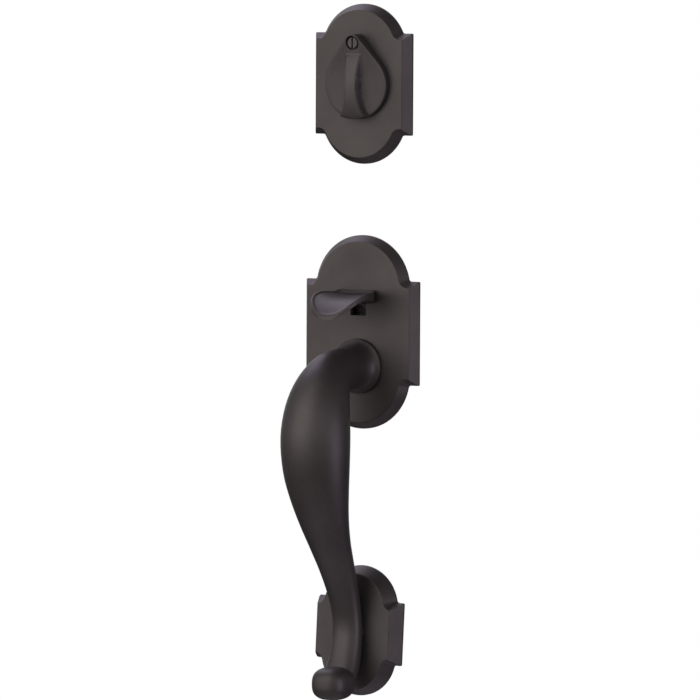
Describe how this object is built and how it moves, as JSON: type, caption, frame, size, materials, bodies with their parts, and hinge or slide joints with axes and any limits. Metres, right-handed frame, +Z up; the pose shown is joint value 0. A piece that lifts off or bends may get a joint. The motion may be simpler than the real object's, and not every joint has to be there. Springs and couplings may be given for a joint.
{
  "type": "entry door handleset",
  "caption": "Outside half of an entry door set: arched plates, sculpted grip with curled tail, thumb latch and a lock cylinder under a swinging cover.",
  "frame": {"origin": "centre of the latch bore on the door's outside face, at the back of the latch plate", "axes": "X across the door to the right seen from outside, +Y into the door, +Z up"},
  "size_m": [0.0732, 0.1176, 0.3906],
  "materials": {
    "dark_bronze": "satin, oil rubbed dark bronze",
    "zinc_steel": "zinc plated",
    "spring_steel": "plain spring wire",
    "black_steel": "black oxide",
    "lock_brass": "machined"
  },
  "bodies": {
    "trim": {"deadbolt_plate": "dark_bronze", "flap_screw": "dark_bronze", "flap_washer": "dark_bronze", "latch_plate": "dark_bronze", "grip": "dark_bronze", "foot_plate": "dark_bronze", "deadbolt_posts": "zinc_steel", "latch_posts": "zinc_steel", "bracket_screws": "zinc_steel", "grip_bolt": "zinc_steel", "grip_bolt_washer": "zinc_steel", "foot_stud": "zinc_steel", "foot_post": "zinc_steel", "cylinder_clip": "zinc_steel", "thumb_pin": "zinc_steel", "thumb_pin_clip": "zinc_steel", "pin_springs": "spring_steel", "thumb_spring": "spring_steel", "cylinder_housing": "lock_brass", "driver_pins": "lock_brass", "pin_cover": "lock_brass", "thumb_bracket": "black_steel"},
    "plug": {"cylinder_plug": "lock_brass", "key_pins": "lock_brass", "tailpiece": "zinc_steel", "tailpiece_cap": "lock_brass"},
    "flap": {"keyway_flap": "dark_bronze"},
    "thumb": {"thumb_lever": "dark_bronze"}
  },
  "joints": [
    {"name": "plug_turn", "type": "hinge", "parent": "trim", "child": "plug", "pos_m": [0, 0, 0.1397], "axis": [0, 1, 0], "range_deg": [-90, 90]},
    {"name": "flap_swing", "type": "hinge", "parent": "trim", "child": "flap", "pos_m": [0, -0.01, 0.1629], "axis": [0, 1, 0], "range_deg": [-100, 100]},
    {"name": "thumb_press", "type": "hinge", "parent": "trim", "child": "thumb", "pos_m": [0, 0.005, 0.012], "axis": [1, 0, 0], "range_deg": [0, 18], "stiffness_Nm_per_rad": 0.3, "springref_deg": -20.05, "deforming": ["thumb_spring"]}
  ]
}
